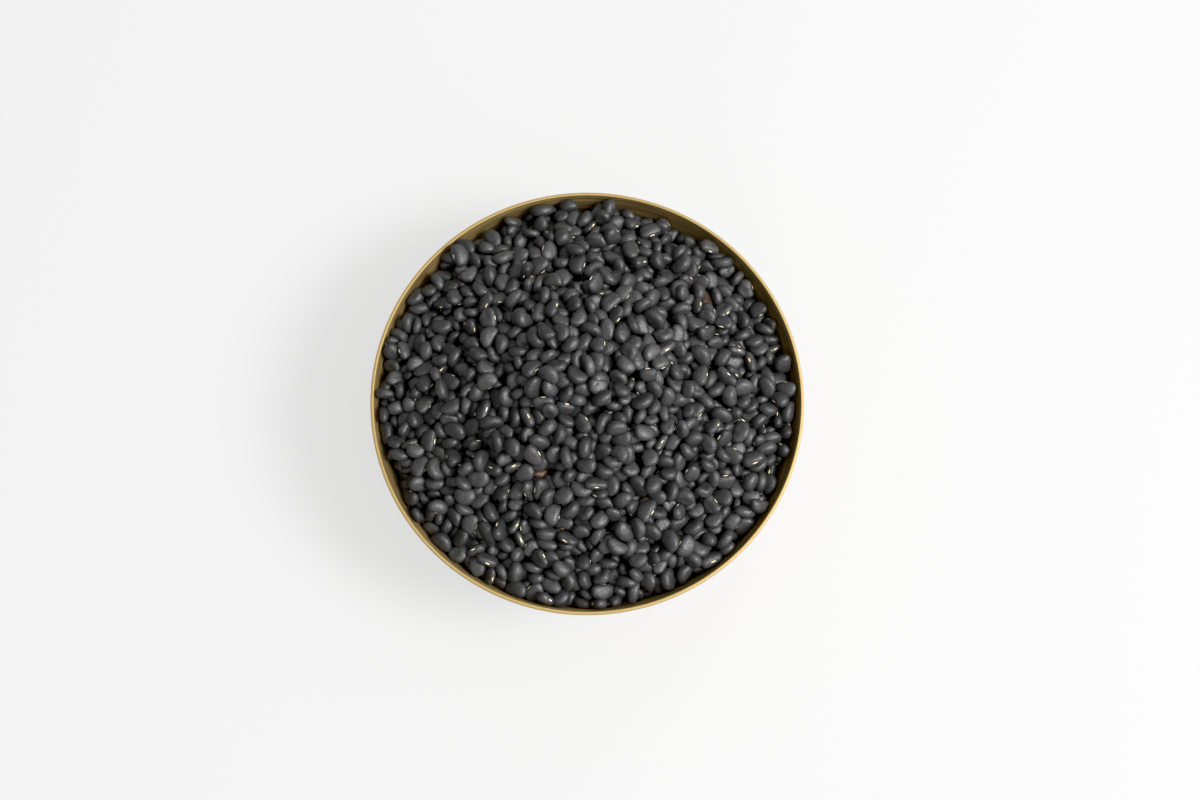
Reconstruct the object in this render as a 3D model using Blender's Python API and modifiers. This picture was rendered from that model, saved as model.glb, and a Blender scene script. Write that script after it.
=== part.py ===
"""A spun brass bowl heaped with small dried black beans.

Metres, +Z up. The origin is the middle of the bowl's flat base, on the surface it stands on.
-Y is the side that faces the viewer, and +X is the viewer's right.
"""

import math

import bmesh
import bpy
from mathutils import Vector, noise

# Bowl
RIM_RADIUS = 0.075
BOWL_HEIGHT = 0.050
WALL = 0.00135
WALL_LEAN = math.radians(14)
CORNER_RADIUS = 0.030
LIP_DROP = 0.0008
LIP_FLAT = 0.0009
BOWL_SEGMENTS = 80
CORNER_POINTS = 7
LIP_POINTS = 4

# Heap of beans
GAP = 0.0003
EDGE_DEPTH = 0.0058
EDGE_TILT = 0.0016
EDGE_LOW_SIDE = math.radians(25)
APEX = Vector((-0.004, 0.013))
APEX_HEIGHT = 0.0715
APEX_ROUNDING = 0.42
LUMP_HEIGHT = 0.0014
LUMP_LENGTH = 0.024
BEAN_LENGTH = 0.0064
BEAN_RELIEF = 0.0016
HEAP_CELLS = 44

# Colours as linear RGBA
BRASS = (0.56, 0.37, 0.15, 1.0)
BEAN_BLACK = (0.030, 0.030, 0.032, 1.0)

# The outer wall is a straight lean above a round corner that ends level on the base.
WALL_TURN = math.pi / 2 - WALL_LEAN
OUTER_TOP = BOWL_HEIGHT - LIP_DROP
CORNER_TOP = CORNER_RADIUS * (1 - math.cos(WALL_TURN))
CORNER_CENTRE = (
    RIM_RADIUS
    - (OUTER_TOP - CORNER_TOP) * math.tan(WALL_LEAN)
    - CORNER_RADIUS * math.sin(WALL_TURN)
)


def clear_scene():
    for obj in list(bpy.data.objects):
        bpy.data.objects.remove(obj)


def material(name, colour, roughness, metallic):
    made = bpy.data.materials.new(name)
    made.use_nodes = True
    shader = made.node_tree.nodes["Principled BSDF"]
    shader.inputs["Base Color"].default_value = colour
    shader.inputs["Roughness"].default_value = roughness
    shader.inputs["Metallic"].default_value = metallic
    made.diffuse_color = colour
    return made


def wall_radius(z, inset):
    """The wall's radius at height z, measured inset from its outer face along the face's normal."""
    radius = CORNER_RADIUS - inset
    corner_top = CORNER_RADIUS - radius * math.cos(WALL_TURN)
    if z < corner_top:
        drop = max(-1.0, min(1.0, (CORNER_RADIUS - z) / radius))
        return CORNER_CENTRE + radius * math.sqrt(1 - drop * drop)
    return (
        CORNER_CENTRE
        + radius * math.sin(WALL_TURN)
        + (z - corner_top) * math.tan(WALL_LEAN)
    )


def corner(inset, upwards):
    """Points (radius, z) round the corner between the base and the wall."""
    radius = CORNER_RADIUS - inset
    turns = [WALL_TURN * i / (CORNER_POINTS - 1) for i in range(CORNER_POINTS)]
    points = [
        (CORNER_CENTRE + radius * math.sin(t), CORNER_RADIUS - radius * math.cos(t))
        for t in turns
    ]
    return points if upwards else points[::-1]


def lip():
    """Points (radius, z) over the lip: a flat land, then a quarter round out to the rim's widest point."""
    land = wall_radius(BOWL_HEIGHT, WALL)
    start = land + LIP_FLAT
    reach = RIM_RADIUS - start
    turns = [math.pi / 2 * i / LIP_POINTS for i in range(LIP_POINTS + 1)]
    rounded = [
        (start + reach * math.sin(t), OUTER_TOP + LIP_DROP * math.cos(t)) for t in turns
    ]
    return [(land, BOWL_HEIGHT)] + rounded


def make_bowl(collection):
    profile = [(0.0, WALL)] + corner(WALL, True) + lip() + corner(0.0, False)
    profile.append((0.0, 0.0))
    mesh = bpy.data.meshes.new("bowl")
    mesh.from_pydata(
        [(radius, 0.0, z) for radius, z in profile],
        [(i, i + 1) for i in range(len(profile) - 1)],
        [],
    )
    bowl = bpy.data.objects.new("bowl", mesh)
    collection.objects.link(bowl)
    turned = bowl.modifiers.new("turned", "SCREW")
    turned.axis = "Z"
    turned.angle = math.tau
    turned.steps = BOWL_SEGMENTS
    turned.render_steps = BOWL_SEGMENTS
    turned.use_merge_vertices = True
    turned.merge_threshold = 0.00005
    turned.use_smooth_shade = True
    bowl.data.materials.append(material("brass", BRASS, 0.38, 1.0))
    return bowl


def edge_height(azimuth):
    """Where the beans meet the wall: lower on one side of the bowl than on the other."""
    return BOWL_HEIGHT - EDGE_DEPTH - EDGE_TILT * math.cos(azimuth - EDGE_LOW_SIDE)


def heap_radius(azimuth):
    return wall_radius(edge_height(azimuth), WALL + GAP)


def share_to_wall(point, reach):
    """How far a point lies from the apex towards the wall, from 0 to 1, along its own line."""
    away = point - APEX
    distance = away.length
    if distance < 1e-9:
        return 0.0
    along = away / distance
    across = APEX.dot(along)
    to_wall = math.sqrt(across**2 - APEX.length_squared + reach**2) - across
    return min(1.0, distance / to_wall)


def heap_height(point, reach):
    """The heap's top: a rounded cone with its apex off the middle, low lumps, and a bean-sized relief."""
    edge = edge_height(math.atan2(point.y, point.x))
    share = share_to_wall(point, reach)
    ends = math.hypot(1, APEX_ROUNDING), math.hypot(0, APEX_ROUNDING)
    rise = (ends[0] - math.hypot(share, APEX_ROUNDING)) / (ends[0] - ends[1])
    lump = noise.noise(Vector((point.x, point.y, 0.3)) / LUMP_LENGTH)
    nearest = noise.voronoi(Vector((point.x, point.y, 0.0)) / BEAN_LENGTH)[0][0]
    relief = 0.5 - min(1.0, nearest / 0.6) ** 2
    smooth = edge + (APEX_HEIGHT - edge) * rise
    return smooth + (LUMP_HEIGHT * lump + BEAN_RELIEF * relief) * min(
        1.0, 6 * (1 - share) + 0.35
    )


def disc_point(a, b):
    """A point of the square from -1 to 1 moved smoothly onto the unit disc, edge to edge."""
    return Vector((a * math.sqrt(1 - b * b / 2), b * math.sqrt(1 - a * a / 2)))


def make_heap(collection):
    """A grid pushed into a disc makes the top, and its edge runs down the bowl's inner wall to the floor."""
    made = bmesh.new()
    bmesh.ops.create_grid(
        made, x_segments=HEAP_CELLS, y_segments=HEAP_CELLS, size=1.0
    )
    for vert in made.verts:
        flat = disc_point(vert.co.x, vert.co.y)
        reach = heap_radius(math.atan2(flat.y, flat.x))
        point = flat * reach
        vert.co = (point.x, point.y, heap_height(point, reach))
    down_the_wall = corner(WALL + GAP, False)
    ring = [edge for edge in made.edges if edge.is_boundary]
    for radius, z in down_the_wall:
        grown = bmesh.ops.extrude_edge_only(made, edges=ring)["geom"]
        for vert in (item for item in grown if isinstance(item, bmesh.types.BMVert)):
            flat = Vector((vert.co.x, vert.co.y)).normalized() * radius
            vert.co = (flat.x, flat.y, z)
        ring = [item for item in grown if isinstance(item, bmesh.types.BMEdge)]
    bmesh.ops.contextual_create(made, geom=ring)
    bmesh.ops.recalc_face_normals(made, faces=made.faces)
    mesh = bpy.data.meshes.new("beans")
    made.to_mesh(mesh)
    made.free()
    heap = bpy.data.objects.new("beans", mesh)
    collection.objects.link(heap)
    heap.data.materials.append(material("bean_skin", BEAN_BLACK, 0.55, 0.0))
    return heap


def main():
    clear_scene()
    collection = bpy.data.collections.new("bowl_of_dried_beans")
    bpy.context.scene.collection.children.link(collection)
    make_bowl(collection)
    make_heap(collection)


main()
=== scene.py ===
"""A turned brass bowl heaped with small dried black beans, on a pale studio floor.

Metres, +Z up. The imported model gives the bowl's size and the heap's outline. The bowl is turned again with
a finer profile, and the heap is made of separate beans, which fall onto a smaller bed and settle there.
"""

import math
import random

import bpy
import numpy as np
from bpy.props import FloatProperty, FloatVectorProperty, IntProperty, PointerProperty
from mathutils import Matrix, Vector, noise
from mathutils.bvhtree import BVHTree


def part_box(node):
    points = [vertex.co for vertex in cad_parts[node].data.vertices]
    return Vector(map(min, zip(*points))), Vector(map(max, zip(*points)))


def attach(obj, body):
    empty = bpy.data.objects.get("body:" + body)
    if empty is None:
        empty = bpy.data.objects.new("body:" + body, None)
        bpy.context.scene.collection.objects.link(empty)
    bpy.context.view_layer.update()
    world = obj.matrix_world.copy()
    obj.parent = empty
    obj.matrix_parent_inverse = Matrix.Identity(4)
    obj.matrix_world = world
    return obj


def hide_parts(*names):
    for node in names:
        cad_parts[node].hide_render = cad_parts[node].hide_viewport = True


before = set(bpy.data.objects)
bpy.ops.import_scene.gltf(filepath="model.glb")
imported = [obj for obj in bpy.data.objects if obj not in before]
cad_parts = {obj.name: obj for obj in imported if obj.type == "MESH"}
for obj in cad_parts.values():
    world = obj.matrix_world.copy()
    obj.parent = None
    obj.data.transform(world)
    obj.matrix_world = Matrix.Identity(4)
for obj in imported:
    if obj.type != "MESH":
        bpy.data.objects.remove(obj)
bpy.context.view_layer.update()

bl_info = {
    "name": "Bowl of Dried Beans",
    "version": (1, 0, 0),
    "blender": (4, 5, 0),
    "location": "View3D > Sidebar > Dried Beans",
    "description": "A turned brass bowl heaped with dried black beans that have fallen and settled",
    "category": "Object",
}

BOWL_LOW, BOWL_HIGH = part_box("bowl")
HEAP_LOW, HEAP_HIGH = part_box("beans")
MM = 0.001


# Colour and shader helpers


def linear(colour):
    """A #rrggbb sRGB colour as linear RGBA."""
    parts = [int(colour[i : i + 2], 16) / 255 for i in (1, 3, 5)]
    return [c / 12.92 if c <= 0.04045 else ((c + 0.055) / 1.055) ** 2.4 for c in parts] + [1.0]


def per_mm(size):
    """The texture scale that makes one feature of a pattern this many millimetres long."""
    return 1 / (size * MM)


def add_node(tree, kind, inputs=None, **settings):
    """Adds a shader node. Each input takes a plain value, or another node's output socket to link from."""
    node = tree.nodes.new(kind)
    for name, value in settings.items():
        setattr(node, name, value)
    for key, value in (inputs or {}).items():
        if isinstance(value, bpy.types.NodeSocket):
            tree.links.new(value, node.inputs[key])
        else:
            node.inputs[key].default_value = value
    return node


def new_material(name, metallic, sockets):
    """A Principled material, its tree and its shader, with the sockets that are even all over set."""
    material = bpy.data.materials.new(name)
    material.use_nodes = True
    tree = material.node_tree
    shader = tree.nodes["Principled BSDF"]
    shader.inputs["Metallic"].default_value = metallic
    for socket, value in sockets.items():
        shader.inputs[socket].default_value = value
    return material, tree, shader


def two_colour(tree, factor, low, high):
    """The output of a mix from one colour to the other."""
    mix = add_node(tree, "ShaderNodeMix", {0: factor, 6: low, 7: high}, data_type="RGBA")
    return mix.outputs[2]


def spread(tree, value, low, high, start=0.0, end=1.0):
    """The output of a clamped map from start..end to low..high."""
    inputs = {0: value, 1: start, 2: end, 3: low, 4: high}
    return add_node(tree, "ShaderNodeMapRange", inputs).outputs[0]


def fine_noise(tree, vector, size, detail=2.0, roughness=0.5):
    """The output of a noise whose features are this many millimetres long."""
    inputs = {"Vector": vector, "Scale": per_mm(size), "Detail": detail, "Roughness": roughness}
    return add_node(tree, "ShaderNodeTexNoise", inputs).outputs[0]


def object_position(tree):
    return add_node(tree, "ShaderNodeTexCoord").outputs["Object"]


# Settings


class BrassBowlSettings(bpy.types.PropertyGroup):
    wall: FloatProperty(
        name="Wall", description="Thickness of the metal", default=1.35 * MM, unit="LENGTH", precision=4
    )
    lean: FloatProperty(
        name="Lean",
        description="How far the wall leans outwards from upright",
        default=math.radians(14),
        subtype="ANGLE",
    )
    corner_radius: FloatProperty(
        name="Corner radius",
        description="Outer radius between the wall and the base",
        default=30 * MM,
        unit="LENGTH",
    )
    lip_drop: FloatProperty(
        name="Lip drop",
        description="Height of the round on the rim's outer edge",
        default=0.8 * MM,
        unit="LENGTH",
        precision=4,
    )
    lip_flat: FloatProperty(
        name="Lip flat",
        description="Width of the flat land on top of the rim",
        default=0.9 * MM,
        unit="LENGTH",
        precision=4,
    )
    segments: IntProperty(name="Segments", description="Steps of the turned shape", default=256, min=48)
    line_pitch: FloatProperty(
        name="Line pitch", description="Millimetres between the turning lines", default=0.8, min=0.1
    )
    brass: FloatVectorProperty(
        name="Brass",
        description="Colour of clean metal",
        subtype="COLOR",
        size=4,
        default=linear("#b69f6d"),
    )
    aged_brass: FloatVectorProperty(
        name="Aged brass",
        description="Colour in the lines and where the metal has dulled",
        subtype="COLOR",
        size=4,
        default=linear("#8d7650"),
    )


class DriedBeanSettings(bpy.types.PropertyGroup):
    count: IntProperty(name="Count", description="Beans that fall onto the bed", default=1330, min=1)
    seed: IntProperty(name="Seed", description="Seed of every random choice", default=11)
    size_spread: FloatProperty(
        name="Size spread", description="Largest change of a bean's size, as a share", default=0.13
    )
    bed_depth: FloatProperty(
        name="Bed depth",
        description="How far below the heap's outline the bed lies in the middle",
        default=7.2 * MM,
        unit="LENGTH",
        precision=4,
    )
    bed_fall: FloatProperty(
        name="Bed fall",
        description="How much deeper than that it lies at the wall, where beans that roll down gather",
        default=3.0 * MM,
        unit="LENGTH",
        precision=4,
    )
    bed_tilt: FloatProperty(
        name="Bed tilt",
        description="How much higher the bed is at the front edge than in the middle",
        default=0.7 * MM,
        unit="LENGTH",
    )
    bed_relief: FloatProperty(
        name="Bed relief",
        description="Height of the bed's lumps",
        default=1.4 * MM,
        unit="LENGTH",
        precision=4,
    )
    start_lean: FloatProperty(
        name="Start lean",
        description="How far the beans typically start from lying flat",
        default=math.radians(14),
        subtype="ANGLE",
    )
    settle_frames: IntProperty(
        name="Settle frames", description="Frames that the beans fall for", default=60
    )
    coat: FloatVectorProperty(
        name="Coat", description="Darker seed coat", subtype="COLOR", size=4, default=linear("#282828")
    )
    pale_coat: FloatVectorProperty(
        name="Pale coat", description="Greyer seed coat", subtype="COLOR", size=4, default=linear("#3d3d3d")
    )
    rust_coat: FloatVectorProperty(
        name="Rust coat",
        description="Brown seed coat of a few beans",
        subtype="COLOR",
        size=4,
        default=linear("#4c382c"),
    )
    dark_rust_coat: FloatVectorProperty(
        name="Dark rust coat",
        description="Darker blotches of the brown seed coat",
        subtype="COLOR",
        size=4,
        default=linear("#38291f"),
    )
    eye: FloatVectorProperty(
        name="Eye", description="The cream seed scar", subtype="COLOR", size=4, default=linear("#efe2bd")
    )


class StudioSettings(bpy.types.PropertyGroup):
    distance: FloatProperty(
        name="Camera distance", description="From the middle of the rim", default=0.5761, unit="LENGTH"
    )
    tilt: FloatProperty(
        name="Camera tilt",
        description="How far the view leans from straight down",
        default=math.radians(13.21),
        subtype="ANGLE",
    )
    lens: FloatProperty(name="Lens", description="Focal length", default=50, subtype="DISTANCE_CAMERA")
    key_power: FloatProperty(name="Key power", description="Watts of the soft key light", default=29.0)
    bright_side: FloatProperty(
        name="Bright side", description="Strength of the soft light around the key", default=1.35
    )
    dim_side: FloatProperty(
        name="Dim side", description="Strength of the soft light on the far side", default=0.10
    )
    glow: FloatProperty(name="Glow", description="Strength of the light through the floor", default=0.645)
    floor_glow: FloatVectorProperty(
        name="Floor glow",
        description="Colour of the light through the floor",
        subtype="COLOR",
        size=4,
        default=linear("#ffffff"),
    )
    floor: FloatVectorProperty(
        name="Floor", description="Colour of the floor", subtype="COLOR", size=4, default=linear("#6e6e6e")
    )


# The bowl's profile


class BowlProfile:
    """The bowl's cross-section as (radius, height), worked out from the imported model's size."""

    def __init__(self, settings):
        self.rim = BOWL_HIGH.x
        self.height = BOWL_HIGH.z
        self.wall = settings.wall
        self.lean = settings.lean
        self.corner = settings.corner_radius
        self.lip_drop = settings.lip_drop
        self.lip_flat = settings.lip_flat
        self.turn = math.pi / 2 - self.lean
        self.outer_top = self.height - self.lip_drop
        corner_top = self.corner * (1 - math.cos(self.turn))
        straight = (self.outer_top - corner_top) * math.tan(self.lean)
        self.corner_centre = self.rim - straight - self.corner * math.sin(self.turn)

    def radius(self, z, inset):
        """The wall's radius at a height, inset from its outer face along the face's normal."""
        round_radius = self.corner - inset
        corner_top = self.corner - round_radius * math.cos(self.turn)
        if z < corner_top:
            drop = max(-1.0, min(1.0, (self.corner - z) / round_radius))
            return self.corner_centre + round_radius * math.sqrt(1 - drop * drop)
        rise = (z - corner_top) * math.tan(self.lean)
        return self.corner_centre + round_radius * math.sin(self.turn) + rise

    def corner_arc(self, inset, points):
        """Points from the base up round the corner to the foot of the straight wall."""
        round_radius = self.corner - inset
        turns = [self.turn * i / (points - 1) for i in range(points)]
        return [
            (
                self.corner_centre + round_radius * math.sin(t),
                self.corner - round_radius * math.cos(t),
            )
            for t in turns
        ]

    def lip(self, points):
        """Points over the lip: a softened inner edge, a flat land, then a round to the widest point."""
        land = self.radius(self.height, self.wall)
        soften = self.lip_flat / 3
        turns = [math.pi / 2 * i / points for i in range(points + 1)]
        inner = [
            (land + soften * (1 - math.cos(t)), self.height - soften * (1 - math.sin(t)))
            for t in turns
        ]
        start = land + self.lip_flat
        reach = self.rim - start
        outer = [
            (start + reach * math.sin(t), self.outer_top + self.lip_drop * math.cos(t)) for t in turns
        ]
        return inner + outer

    def outline(self):
        """The whole section, from the middle of the inside, over the lip, to the middle of the base."""
        inside = self.corner_arc(self.wall, 20)
        outside = self.corner_arc(0.0, 20)[::-1]
        return [(0.0, self.wall)] + inside + self.lip(7) + outside + [(0.0, 0.0)]


def turned_brass(settings):
    """Spun brass, its face cut by a turning tool and left unpolished: a satin gold broken by fine rings."""
    material, tree, shader = new_material("turned_brass", 1.0, {})
    position = object_position(tree)
    axes = add_node(tree, "ShaderNodeSeparateXYZ", {0: position})
    flat = add_node(tree, "ShaderNodeCombineXYZ", {0: axes.outputs[0], 1: axes.outputs[1]})
    radius = add_node(tree, "ShaderNodeVectorMath", {0: flat.outputs[0]}, operation="LENGTH")
    # The rings follow radius and height, and drift slowly round the bowl, so no line runs the whole way.
    drift = add_node(tree, "ShaderNodeMath", {0: axes.outputs[0], 1: 0.02}, operation="MULTIPLY")
    rings = add_node(
        tree,
        "ShaderNodeCombineXYZ",
        {0: radius.outputs["Value"], 1: axes.outputs[2], 2: drift.outputs[0]},
    )
    lines = fine_noise(tree, rings.outputs[0], settings.line_pitch, detail=3.0, roughness=0.6)
    # Broad patches have dulled more than the rest, and dark pits are scattered over all of it.
    dulling = spread(tree, fine_noise(tree, position, 24.0), 0.42, 0.58, 0.3, 0.7)
    wear = add_node(tree, "ShaderNodeMath", {0: lines, 1: dulling}, operation="MULTIPLY")
    tone = spread(tree, wear.outputs[0], 0.0, 1.0, 0.19, 0.30)
    pits = add_node(
        tree, "ShaderNodeTexVoronoi", {"Vector": position, "Scale": per_mm(2.4)}, feature="F1"
    )
    pitted = spread(tree, pits.outputs["Distance"], 0.35, 1.0, 0.03, 0.09)
    wall = two_colour(tree, tone, settings.aged_brass, settings.brass)
    # Painted highlight: the lip, the top millimetre, gets the clean brass colour and so is a little brighter
    # than the wall.
    height = BOWL_HIGH.z
    painted_lip_highlight = spread(tree, axes.outputs[2], 0.0, 1.0, height - 1.0 * MM, height - 0.3 * MM)
    shade = two_colour(tree, painted_lip_highlight, wall, settings.brass)
    dark = add_node(
        tree,
        "ShaderNodeMix",
        {0: 1.0, 6: shade, 7: pitted},
        data_type="RGBA",
        blend_type="MULTIPLY",
    )
    bump = add_node(tree, "ShaderNodeBump", {"Strength": 0.35, "Distance": 0.05 * MM, "Height": lines})
    tree.links.new(dark.outputs[2], shader.inputs["Base Color"])
    tree.links.new(spread(tree, lines, 0.58, 0.80, 0.3, 0.7), shader.inputs["Roughness"])
    tree.links.new(bump.outputs[0], shader.inputs["Normal"])
    return material


class BEANBOWL_OT_bowl(bpy.types.Operator):
    """Turns the brass bowl with a round lip"""

    bl_idname = "beanbowl.bowl"
    bl_label = "Brass Bowl"

    def execute(self, context):
        settings = context.scene.brass_bowl
        outline = BowlProfile(settings).outline()
        mesh = bpy.data.meshes.new("brass_bowl")
        edges = [(i, i + 1) for i in range(len(outline) - 1)]
        mesh.from_pydata([(radius, 0.0, z) for radius, z in outline], edges, [])
        bowl = bpy.data.objects.new("brass_bowl", mesh)
        context.collection.objects.link(bowl)
        turned = bowl.modifiers.new("turned", "SCREW")
        turned.steps = settings.segments
        turned.render_steps = settings.segments
        turned.use_merge_vertices = True
        turned.merge_threshold = 0.02 * MM
        turned.use_smooth_shade = True
        mesh.materials.append(turned_brass(settings))
        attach(bowl, "root")
        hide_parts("bowl")
        return {"FINISHED"}


# The bed under the loose beans


class HeapTop:
    """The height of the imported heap's top, looked up straight down from above."""

    def __init__(self):
        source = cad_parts["beans"].data
        corners = [vert.co for vert in source.vertices]
        self.tree = BVHTree.FromPolygons(corners, [face.vertices for face in source.polygons])

    def height(self, x, y):
        above = Vector((x, y, 2 * HEAP_HIGH.z))
        return self.tree.ray_cast(above, Vector((0, 0, -1)))[0].z


def disc_point(a, b):
    """A point of the square from -1 to 1 moved smoothly onto the unit disc, edge to edge."""
    return Vector((a * math.sqrt(1 - b * b / 2), b * math.sqrt(1 - a * a / 2)))


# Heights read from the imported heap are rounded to 0.01 mm, so that the beans always fall the same way.
ROUNDED = 5
BED_GAP = 0.3 * MM
BED_LUMP = 5.6 * MM
BED_CELLS = 90
FALL_BED_CELLS = 60
BED_CORNER_POINTS = 9
# The beans meet the wall this share of the way from the heap's lowest point to the rim, and the heap's
# height is read out to this share of the wall's radius there, just short of the heap's own edge.
EDGE_SHARE = 0.74
READ_SHARE = 0.96


def bed_mesh(profile, heap, settings, cells):
    """A closed bed that fills the bowl, its top well under the heap's and lumpy as the beans on it are."""
    edge = HEAP_LOW.z + (BOWL_HIGH.z - HEAP_LOW.z) * EDGE_SHARE
    inside = READ_SHARE * profile.radius(edge, profile.wall)
    reach = profile.radius(edge - settings.bed_depth - settings.bed_fall, profile.wall + BED_GAP)
    row = cells + 1
    corners = []
    for j in range(row):
        for i in range(row):
            flat = disc_point(2 * i / cells - 1, 2 * j / cells - 1)
            place = flat * reach
            lump = noise.voronoi(Vector((place.x, place.y, 0)) / BED_LUMP)[0][0]
            top = heap.height(*(flat * inside)) - settings.bed_depth
            top -= settings.bed_fall * flat.length_squared + settings.bed_tilt * flat.y
            top += settings.bed_relief * (0.5 - min(1.0, lump / 0.6) ** 2)
            corners.append(tuple(round(part, ROUNDED) for part in (place.x, place.y, top)))
    sides = [
        (start, start + 1, start + row + 1, start + row)
        for start in (j * row + i for j in range(cells) for i in range(cells))
    ]
    ring = list(range(cells))
    ring += [cells + row * j for j in range(cells)]
    ring += [row * cells + i for i in range(cells, 0, -1)]
    ring += [row * j for j in range(cells, 0, -1)]
    for radius, z in profile.corner_arc(profile.wall + BED_GAP, BED_CORNER_POINTS)[::-1]:
        below = list(range(len(corners), len(corners) + len(ring)))
        for number in ring:
            flat = Vector(corners[number][:2]).normalized() * radius
            corners.append((flat.x, flat.y, z))
        for k in range(len(ring)):
            sides.append((ring[k - 1], below[k - 1], below[k], ring[k]))
        ring = below
    sides.append(ring[::-1])
    mesh = bpy.data.meshes.new("bean_bed")
    mesh.from_pydata(corners, [], sides)
    mesh.shade_smooth()
    return mesh


def painted_shade_bed():
    """The dark underneath of the heap: near-black painted shade that stands for the deep gaps between the
    hidden beans.
    """
    material, tree, shader = new_material("bed_painted_shade", 0.0, {"Roughness": 0.9})
    grain = fine_noise(tree, object_position(tree), 1.2)
    # Painted shade: the bed is far darker than the beans' own coat, so the gaps between them read as deep
    # shadow.
    colour = two_colour(tree, grain, linear("#020202"), linear("#0c0c0c"))
    tree.links.new(colour, shader.inputs["Base Color"])
    return material


class BEANBOWL_OT_bed(bpy.types.Operator):
    """Makes the bed that the loose beans lie on, which stands for the hidden beans"""

    bl_idname = "beanbowl.bed"
    bl_label = "Bean Bed"

    def execute(self, context):
        settings = context.scene.dried_beans
        profile = BowlProfile(context.scene.brass_bowl)
        mesh = bed_mesh(profile, HeapTop(), settings, BED_CELLS)
        bed = bpy.data.objects.new("bean_bed", mesh)
        context.collection.objects.link(bed)
        mesh.materials.append(painted_shade_bed())
        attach(bed, "root")
        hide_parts("beans")
        return {"FINISHED"}


# The beans

# Length, width and thickness in millimetres. Boxiness above 2 squares the outline off, the bend draws the
# back round the eye as in a kidney, the taper makes one end bigger, and wrinkles and dents are
# depths in millimetres.
BEAN_KINDS = {
    "beans_round": dict(
        share=0.18, size=(6.7, 6.0, 3.4), boxy=2.15, bend=0.05, taper=0.03, wrinkle=0.13, dent=0.1
    ),
    "beans_oval": dict(
        share=0.18, size=(7.5, 5.8, 3.6), boxy=2.25, bend=0.08, taper=0.05, wrinkle=0.13, dent=0.1
    ),
    "beans_kidney": dict(
        share=0.17, size=(8.0, 5.6, 3.7), boxy=2.25, bend=0.16, taper=0.09, wrinkle=0.15, dent=0.1
    ),
    "beans_plump": dict(
        share=0.13, size=(7.3, 5.7, 4.3), boxy=2.2, bend=0.08, taper=-0.05, wrinkle=0.12, dent=0.0
    ),
    "beans_egg": dict(
        share=0.12, size=(7.7, 5.9, 3.7), boxy=2.15, bend=0.05, taper=0.15, wrinkle=0.13, dent=0.1
    ),
    "beans_wrinkled": dict(
        share=0.12, size=(7.1, 5.8, 3.5), boxy=2.2, bend=0.10, taper=0.06, wrinkle=0.34, dent=0.45
    ),
    "beans_small": dict(
        share=0.10, size=(6.1, 5.2, 3.2), boxy=2.15, bend=0.06, taper=0.0, wrinkle=0.13, dent=0.0
    ),
}
# Below 1, this flattens a bean's two faces and rounds its edge more tightly.
FACE_POWER = 0.80
# The eye's side is flatter than the back.
EYE_SIDE_FLATTENING = 0.85
# Each kind has this many shapes. The cells are those along one side of the ball that a shape starts from.
VARIANTS = 4
FINE_CELLS = 7
PLAIN_CELLS = 4
HULL_CELLS = 2
EYE_CELLS = 3
# The eye's size, and how deep its middle lies under the bean's side, in millimetres.
EYE_SIZE = (2.1, 0.40, 0.54)
EYE_DEPTH = 0.03


def ball(cells):
    """The points and four-sided faces of a cube of cells blown up into an even ball of radius 1."""
    numbers = {}
    faces = []
    steps = range(-cells, cells, 2)
    for axis in range(3):
        for side in (-1, 1):
            for a, b in ((a, b) for a in steps for b in steps):
                loop = []
                for across, up in ((a, b), (a + 2, b), (a + 2, b + 2), (a, b + 2)):
                    place = [side * cells] * 3
                    place[axis - 2] = across
                    place[axis - 1] = up
                    loop.append(numbers.setdefault(tuple(place), len(numbers)))
                faces.append(loop[::side])
    points = np.tan(np.array(list(numbers)) / cells * math.pi / 4)
    return points / np.linalg.norm(points, axis=1, keepdims=True), np.array(faces)


def bean_points(ball_points, kind, variant):
    """A ball's points shaped into a bean, in millimetres: +X along it, +Y to its eye, +Z through it."""
    change = random.Random(variant)
    length, width, thickness = kind["size"]
    power = 2 / (kind["boxy"] + change.uniform(-0.1, 0.2))
    x, y, z = (np.sign(ball_points) * np.abs(ball_points) ** [power, power, FACE_POWER]).T
    y = y + (kind["bend"] + change.uniform(-0.03, 0.04)) * (2 * x * x - 0.7)
    y = np.where(y > 0, y * EYE_SIDE_FLATTENING, y)
    z = z * (1 - 0.13 * y)
    swell = 1 + (kind["taper"] + change.uniform(-0.06, 0.06)) * x
    y, z = y * swell, z * swell
    points = np.stack([x * length, y * width, z * thickness], 1) / 2
    notch = np.exp(-((points[:, 0] / 1.1) ** 2) - (points[:, 2] / 0.5) ** 2) * (points[:, 1] > 0)
    points[:, 1] -= 0.16 * notch
    side = change.choice((-1, 1))
    hollow = np.exp(-((points[:, 0] - 0.7 * side) ** 2 + (points[:, 1] + 0.3) ** 2) / 1.6)
    points[:, 2] -= kind["dent"] * hollow * np.sign(points[:, 2])
    place = Vector([change.uniform(0, 50) for _ in range(3)])
    for point, out in zip(points, ball_points):
        point += out * kind["wrinkle"] * noise.noise(Vector(point) / 1.9 + place)
    return points


def eye_points(ball_points, kind, variant):
    """The seed scar, in millimetres: a small cream lens set into the notch of its bean."""
    side = bean_points(np.array([[0.0, 1.0, 0.0]]), kind, variant)[0, 1]
    points = ball_points * np.array(EYE_SIZE) / 2
    points[:, 1] += side - EYE_DEPTH
    return points


def joined_mesh(name, parts):
    """One mesh of (points, faces, places) parts, each shape put at every one of its places."""
    corners, sides, start = [], [], 0
    for points, faces, places in parts:
        flat = np.concatenate([points, np.ones((len(points), 1))], 1)
        for place in places:
            corners.append(flat @ np.array(place).T[:, :3])
            sides.append(faces + start)
            start += len(points)
    mesh = bpy.data.meshes.new(name)
    mesh.from_pydata(np.concatenate(corners).tolist(), [], np.concatenate(sides).tolist())
    mesh.shade_smooth()
    return mesh


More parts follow.
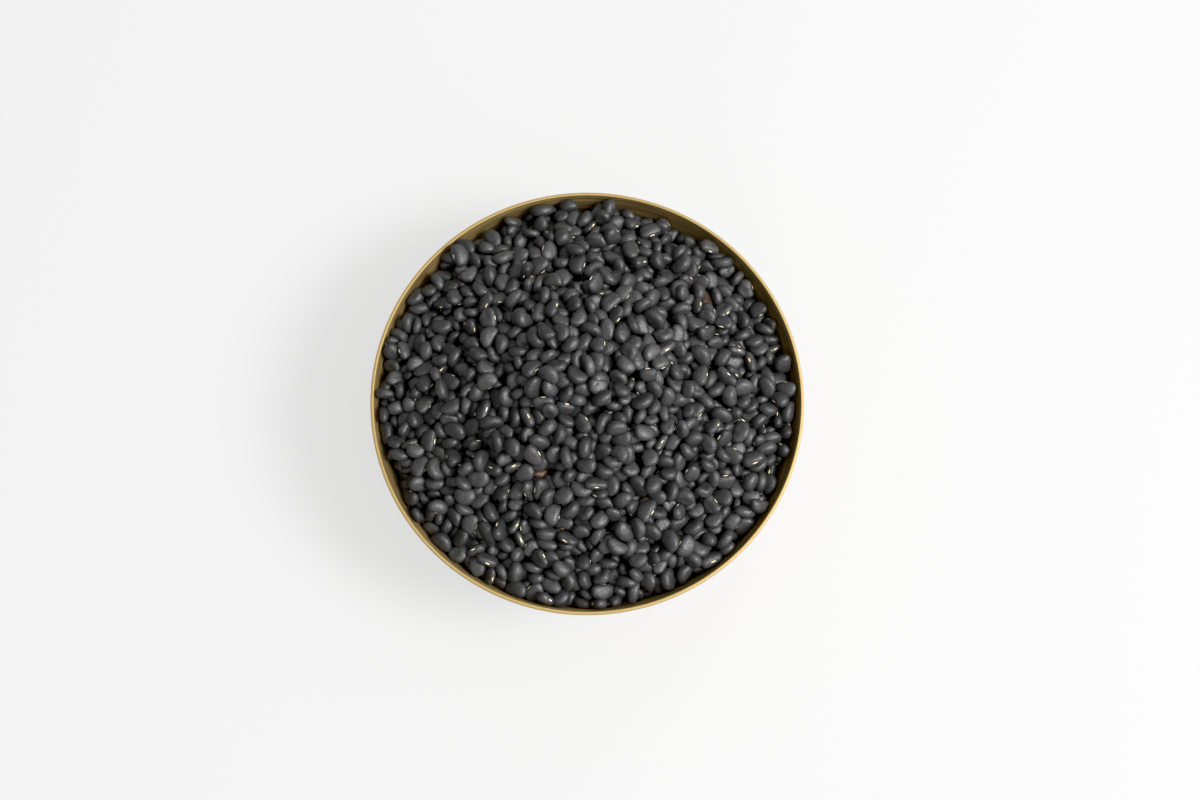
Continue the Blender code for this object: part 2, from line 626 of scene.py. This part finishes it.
# The spacing of the beans in a sheet, the rise from sheet to sheet, the lowest sheet's height over the bed,
# and how far the beans start from the wall.
DROP_PITCH = 8.1 * MM
DROP_LIFT = 4.5 * MM
DROP_START = 5 * MM
DROP_CLEARANCE = 6.5 * MM


def drop_places(settings, heap, profile, shuffle):
    """Where the beans start: level sheets of a shaken grid, each higher above the bed than the last."""
    inside = profile.radius(BOWL_HIGH.z, profile.wall) - DROP_CLEARANCE
    half = int(inside / DROP_PITCH) + 1
    spots = []
    sheet = 0
    while len(spots) < settings.count:
        cells = [
            (
                (i + 0.5 * (j % 2) + 0.3 * (sheet % 3)) * DROP_PITCH,
                (j * 0.87 + 0.4 * (sheet % 2)) * DROP_PITCH,
            )
            for i in range(-half, half + 1)
            for j in range(-half - 2, half + 3)
        ]
        cells = [cell for cell in cells if math.hypot(*cell) < inside]
        shuffle.shuffle(cells)
        for x, y in cells[: settings.count - len(spots)]:
            start = heap.height(x, y) - settings.bed_depth + DROP_START + sheet * DROP_LIFT
            spots.append(Vector((x, y, round(start, ROUNDED))))
        sheet += 1
    return spots


# The beans fall at a hundred times their size, as the solver's margins are too coarse for millimetres.
FALL_SCALE = 100.0
BEAN_FRICTION = 0.75
STILL_FRICTION = 1.0
GUARD_SIDES = 96
# Levels of the guard as shares of the bowl's height.
GUARD_LEVELS = (0.3, 0.6, 1.0, 2.2)
# A bean is stretched by up to this share along each axis, and starts up to this many millimetres off
# its spot along each axis.
STRETCH = 0.06
SHAKE = 0.7


def passive(falling, name, mesh):
    """A still body that the beans land on or lean against."""
    mesh.transform(Matrix.Scale(FALL_SCALE, 4))
    body = bpy.data.objects.new(name, mesh)
    falling.objects.link(body)
    body.rigid_body.type = "PASSIVE"
    body.rigid_body.collision_shape = "MESH"
    body.rigid_body.friction = STILL_FRICTION
    return body


def guard_mesh(profile):
    """The bowl's inner wall, carried on above the rim so that no bean rolls out as it falls."""
    sides = GUARD_SIDES
    corners = []
    for share in GUARD_LEVELS:
        z = profile.height * share
        radius = profile.radius(min(z, profile.height), profile.wall)
        for turn in (math.tau * i / sides for i in range(sides)):
            corners.append((radius * math.cos(turn), radius * math.sin(turn), z))
    faces = []
    for low in range(0, len(corners) - sides, sides):
        for i in range(sides):
            j = (i + 1) % sides
            faces.append((low + i, low + sides + i, low + sides + j, low + j))
    mesh = bpy.data.meshes.new("guard")
    mesh.from_pydata(corners, [], faces)
    return mesh


def settle(context, settings, profile):
    """Drops the beans onto the bed and gives (kind, variant, place) for each where it has come to rest."""
    shuffle = random.Random(settings.seed)
    heap = HeapTop()
    names = list(BEAN_KINDS)
    shares = [BEAN_KINDS[name]["share"] for name in names]
    scene = context.scene
    bpy.ops.rigidbody.world_add()
    world = scene.rigidbody_world
    falling = bpy.data.collections.new("falling")
    scene.collection.children.link(falling)
    world.collection = falling
    world.substeps_per_frame = 5
    world.solver_iterations = 10
    frames = settings.settle_frames
    world.point_cache.frame_start = 1
    world.point_cache.frame_end = frames + 1
    bed = bed_mesh(profile, heap, settings, FALL_BED_CELLS)
    colliders = [bed, guard_mesh(profile)]
    still = [passive(falling, "still", mesh) for mesh in colliders]
    rough_ball = ball(HULL_CELLS)
    hulls = {}
    for name in names:
        for variant in range(VARIANTS):
            hull = bpy.data.meshes.new("hull_" + name)
            points = bean_points(rough_ball[0], BEAN_KINDS[name], variant) * MM * FALL_SCALE
            hull.from_pydata(points.tolist(), [], rough_ball[1].tolist())
            hulls[name, variant] = hull
    bodies = []
    for spot in drop_places(settings, heap, profile, shuffle):
        name = shuffle.choices(names, shares)[0]
        variant = shuffle.randrange(VARIANTS)
        body = bpy.data.objects.new("bean", hulls[name, variant])
        size = 1 + shuffle.triangular(-1, 1, 0) * settings.size_spread
        body.scale = [size * (1 + shuffle.uniform(-STRETCH, STRETCH)) for _ in range(3)]
        jitter = Vector([shuffle.uniform(-SHAKE, SHAKE) * MM for _ in range(3)])
        body.location = (spot + jitter) * FALL_SCALE
        lean = [shuffle.gauss(0, settings.start_lean) for _ in range(2)]
        flip = shuffle.choice((0, math.pi))
        body.rotation_euler = (lean[0] + flip, lean[1], shuffle.uniform(0, math.tau))
        falling.objects.link(body)
        body.rigid_body.collision_shape = "CONVEX_HULL"
        body.rigid_body.friction = BEAN_FRICTION
        body.rigid_body.linear_damping = 0.15
        body.rigid_body.angular_damping = 0.6
        bodies.append((name, variant, body))
    for number in range(1, frames + 1):
        scene.frame_set(number)
    shown = context.evaluated_depsgraph_get()
    grow = Matrix.Scale(FALL_SCALE, 4)
    settled = [
        (name, variant, grow.inverted() @ body.evaluated_get(shown).matrix_world @ grow)
        for name, variant, body in bodies
    ]
    bpy.ops.rigidbody.world_remove()
    for body in still + [body for _, _, body in bodies]:
        bpy.data.objects.remove(body)
    for mesh in list(hulls.values()) + colliders:
        bpy.data.meshes.remove(mesh)
    bpy.data.collections.remove(falling)
    scene.frame_set(1)
    return settled


def seed_coat(name, low, high):
    """A dry bean's seed coat, thin and waxy: matte, with a soft dim shine and a faint leathery grain."""
    material, tree, shader = new_material(name, 0.0, {"IOR": 1.5})
    position = object_position(tree)
    island = add_node(tree, "ShaderNodeNewGeometry").outputs["Random Per Island"]
    # Each bean has its own tone, clouded by a mottle that also moves its sheen and makes its faint folds.
    mottle = fine_noise(tree, position, 2.6, detail=3.0)
    tone = add_node(tree, "ShaderNodeMath", {0: island, 1: mottle}, operation="MULTIPLY")
    colour = two_colour(tree, spread(tree, tone.outputs[0], 0.0, 1.0, 0.0, 0.6), low, high)
    tree.links.new(colour, shader.inputs["Base Color"])
    grain = fine_noise(tree, position, 0.8, detail=4.0, roughness=0.6)
    tree.links.new(spread(tree, mottle, 0.32, 0.46, 0.3, 0.7), shader.inputs["Roughness"])
    skin = add_node(tree, "ShaderNodeBump", {"Strength": 1.0, "Distance": 0.22 * MM, "Height": grain})
    folds = add_node(
        tree,
        "ShaderNodeBump",
        {"Strength": 0.8, "Distance": 0.3 * MM, "Height": mottle, "Normal": skin.outputs[0]},
    )
    tree.links.new(folds.outputs[0], shader.inputs["Normal"])
    return material


def seed_scar(settings):
    """The eye where the bean hung in its pod: a dry, chalky cream pad, finely mottled."""
    material, tree, shader = new_material("seed_scar", 0.0, {"Roughness": 0.6})
    grain = fine_noise(tree, object_position(tree), 0.35)
    colour = two_colour(tree, spread(tree, grain, 0.0, 1.0, 0.3, 0.6), linear("#b9a571"), settings.eye)
    tree.links.new(colour, shader.inputs["Base Color"])
    return material


def add_piece(context, name, mesh, material):
    piece = bpy.data.objects.new(name, mesh)
    context.collection.objects.link(piece)
    mesh.materials.append(material)
    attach(piece, "root")
    return piece


# Rays leave from this many millimetres off the skin: one straight up, and at each rise one in each of this
# many directions round.
RAY_START = 0.15
RAY_RISES = (0.45, 1.2)
RAY_TURNS = 6
# A ray counts if it leaves the skin more steeply than this, as a cosine.
RAY_FACING = 0.1


def openness(settled, bed):
    """How much of each bean shows: the share of rays from its skin, upwards and outwards, that get away."""
    rough, faces = ball(HULL_CELLS)
    corners, sides = [], []
    for name, variant, place in settled:
        sides.extend((faces + len(corners)).tolist())
        points = bean_points(rough, BEAN_KINDS[name], variant)
        corners.extend(place @ Vector(point * MM) for point in points)
    skin = list(corners)
    sides.extend([len(skin) + i for i in face.vertices] for face in bed.polygons)
    corners.extend(vert.co for vert in bed.vertices)
    tree = BVHTree.FromPolygons(corners, sides)
    ways = [Vector((0, 0, 1))]
    for rise in RAY_RISES:
        for number in range(RAY_TURNS):
            turn = math.tau * number / RAY_TURNS
            ways.append(Vector((math.cos(turn), math.sin(turn), rise)).normalized())
    shares = []
    for number, (_, _, place) in enumerate(settled):
        free = 0
        for point in skin[number * len(rough) : (number + 1) * len(rough)]:
            out = (point - place.translation).normalized()
            start = point + out * RAY_START * MM
            facing = [way for way in ways if way.dot(out) > RAY_FACING]
            free += sum(tree.ray_cast(start, way)[0] is None for way in facing)
        shares.append(free / (len(rough) * len(ways)))
    return shares


# Where the few brown beans lie on the heap, in millimetres from the bowl's middle, and the least and the
# most that may show of them.
RUST_SPOTS = ((-18, -29), (45, 33), (22, -38))
RUST_SHARES = (0.05, 0.14)
# Beans of which more than this shows are made finer.
FINE_SHARE = 0.04


def rust_beans(settled, shares):
    """The bean nearest to each spot that only just shows between its neighbours."""
    low, high = RUST_SHARES
    half_hidden = [number for number, share in enumerate(shares) if low < share < high]
    chosen = set()
    for spot in RUST_SPOTS:
        place = Vector(spot) * MM
        chosen.add(min(half_hidden, key=lambda number: (settled[number][2].translation.xy - place).length))
    return chosen


class BEANBOWL_OT_beans(bpy.types.Operator):
    """Drops the beans onto the bed, lets them settle, and joins each kind into one piece"""

    bl_idname = "beanbowl.beans"
    bl_label = "Dried Beans"

    def execute(self, context):
        settings = context.scene.dried_beans
        profile = BowlProfile(context.scene.brass_bowl)
        settled = settle(context, settings, profile)
        shares = openness(settled, bpy.data.objects["bean_bed"].data)
        rust = rust_beans(settled, shares)
        groups = {}
        for number, (name, variant, place) in enumerate(settled):
            if shares[number] == 0:
                continue
            cells = FINE_CELLS if shares[number] > FINE_SHARE else PLAIN_CELLS
            piece = "beans_rust" if number in rust else name
            groups.setdefault(piece, {}).setdefault((name, variant, cells), []).append(place)
        balls = {cells: ball(cells) for cells in (FINE_CELLS, PLAIN_CELLS, EYE_CELLS)}
        black_coat = seed_coat("black_seed_coat", settings.coat, settings.pale_coat)
        rust_coat = seed_coat("rust_seed_coat", settings.dark_rust_coat, settings.rust_coat)
        scars = []
        for piece, shapes in groups.items():
            parts = []
            for (name, variant, cells), places in shapes.items():
                points, faces = balls[cells]
                parts.append((bean_points(points, BEAN_KINDS[name], variant) * MM, faces, places))
                points, faces = balls[EYE_CELLS]
                scars.append((eye_points(points, BEAN_KINDS[name], variant) * MM, faces, places))
            coat = rust_coat if piece == "beans_rust" else black_coat
            add_piece(context, piece, joined_mesh(piece, parts), coat)
        add_piece(context, "bean_eyes", joined_mesh("bean_eyes", scars), seed_scar(settings))
        return {"FINISHED"}


# The studio


# The key light stands high on the right and a little in front.
KEY_PLACE = Vector((0.95, -0.22, 1.16))
KEY_SIZE = 0.6
FLOOR_SIZE = 30.0
# The world's light grows from dim to bright between these cosines of the angle to the key.
DIM_FACING = -0.2
BRIGHT_FACING = 0.9
SENSOR_WIDTH = 36
# These set the bowl a little off the middle of the frame.
LENS_SHIFT = (0.01067, -0.00224)
# Light weaker than this is shown as black, which deepens the gaps between the beans.
BLACK_POINT = 0.006


def matte_floor(settings):
    """Matte acrylic lit from below: an even pale field on which the bowl's shadow is soft and weak."""
    sockets = {
        "Roughness": 0.9,
        "Specular IOR Level": 0.1,
        "Base Color": settings.floor,
        "Emission Color": settings.floor_glow,
        "Emission Strength": settings.glow,
    }
    return new_material("light_table", 0.0, sockets)[0]


def studio_world(settings, key_way):
    """Soft light all round, strong on the key's side and dim on the far side."""
    world = bpy.data.worlds.new("studio")
    world.use_nodes = True
    tree = world.node_tree
    way = add_node(tree, "ShaderNodeTexCoord").outputs["Generated"]
    facing = add_node(tree, "ShaderNodeVectorMath", {0: way, 1: key_way}, operation="DOT_PRODUCT")
    cosine = facing.outputs["Value"]
    strength = spread(
        tree, cosine, settings.dim_side, settings.bright_side, DIM_FACING, BRIGHT_FACING
    )
    tree.links.new(strength, tree.nodes["Background"].inputs["Strength"])
    tree.nodes["Background"].inputs["Color"].default_value = linear("#ffffff")
    return world


def aim(obj, place, target):
    obj.location = place
    obj.rotation_euler = (Vector(target) - Vector(place)).to_track_quat("-Z", "Y").to_euler()


class BEANBOWL_OT_stage(bpy.types.Operator):
    """Sets the pale floor, the soft light and the camera"""

    bl_idname = "beanbowl.stage"
    bl_label = "Studio"

    def execute(self, context):
        settings = context.scene.bean_studio
        scene = context.scene
        bpy.ops.mesh.primitive_plane_add(size=FLOOR_SIZE, location=(0, 0, BOWL_LOW.z))
        floor = context.object
        floor.name = "floor"
        floor.data.materials.append(matte_floor(settings))
        middle = Vector((0, 0, BOWL_HIGH.z))
        key = bpy.data.lights.new("key", "AREA")
        key.shape = "DISK"
        key.size = KEY_SIZE
        key.energy = settings.key_power
        key_light = bpy.data.objects.new("key", key)
        aim(key_light, KEY_PLACE, middle)
        scene.collection.objects.link(key_light)
        scene.world = studio_world(settings, (KEY_PLACE - middle).normalized())
        lens = bpy.data.cameras.new("camera")
        lens.lens = settings.lens
        lens.sensor_width = SENSOR_WIDTH
        lens.shift_x, lens.shift_y = LENS_SHIFT
        camera = bpy.data.objects.new("camera", lens)
        offset = Vector((0, -math.sin(settings.tilt), math.cos(settings.tilt))) * settings.distance
        camera.location = middle + offset
        camera.rotation_euler = (settings.tilt, 0, 0)
        scene.collection.objects.link(camera)
        scene.camera = camera
        view = scene.view_settings
        view.view_transform = "Standard"
        view.use_curve_mapping = True
        view.curve_mapping.black_level = (BLACK_POINT, BLACK_POINT, BLACK_POINT)
        view.curve_mapping.update()
        return {"FINISHED"}


class BEANBOWL_PT_panel(bpy.types.Panel):
    """The bowl's sizes and colours, and a button for each step"""

    bl_idname = "BEANBOWL_PT_panel"
    bl_label = "Bowl of Dried Beans"
    bl_space_type = "VIEW_3D"
    bl_region_type = "UI"
    bl_category = "Dried Beans"

    def draw(self, context):
        scene = context.scene
        for operator, settings in (
            (BEANBOWL_OT_bowl, scene.brass_bowl),
            (BEANBOWL_OT_beans, scene.dried_beans),
            (BEANBOWL_OT_stage, scene.bean_studio),
        ):
            box = self.layout.box()
            for name in settings.__annotations__:
                box.prop(settings, name)
            box.operator(operator.bl_idname)
            if operator is BEANBOWL_OT_bowl:
                box.operator(BEANBOWL_OT_bed.bl_idname)


CLASSES = (
    BrassBowlSettings,
    DriedBeanSettings,
    StudioSettings,
    BEANBOWL_OT_bowl,
    BEANBOWL_OT_bed,
    BEANBOWL_OT_beans,
    BEANBOWL_OT_stage,
    BEANBOWL_PT_panel,
)


def register():
    for cls in CLASSES:
        bpy.utils.register_class(cls)
    bpy.types.Scene.brass_bowl = PointerProperty(type=BrassBowlSettings)
    bpy.types.Scene.dried_beans = PointerProperty(type=DriedBeanSettings)
    bpy.types.Scene.bean_studio = PointerProperty(type=StudioSettings)


def unregister():
    del bpy.types.Scene.bean_studio
    del bpy.types.Scene.dried_beans
    del bpy.types.Scene.brass_bowl
    for cls in reversed(CLASSES):
        bpy.utils.unregister_class(cls)


def main():
    register()
    bpy.ops.beanbowl.bowl()
    bpy.ops.beanbowl.bed()
    bpy.ops.beanbowl.beans()
    bpy.ops.beanbowl.stage()


if __name__ == "__main__":
    main()
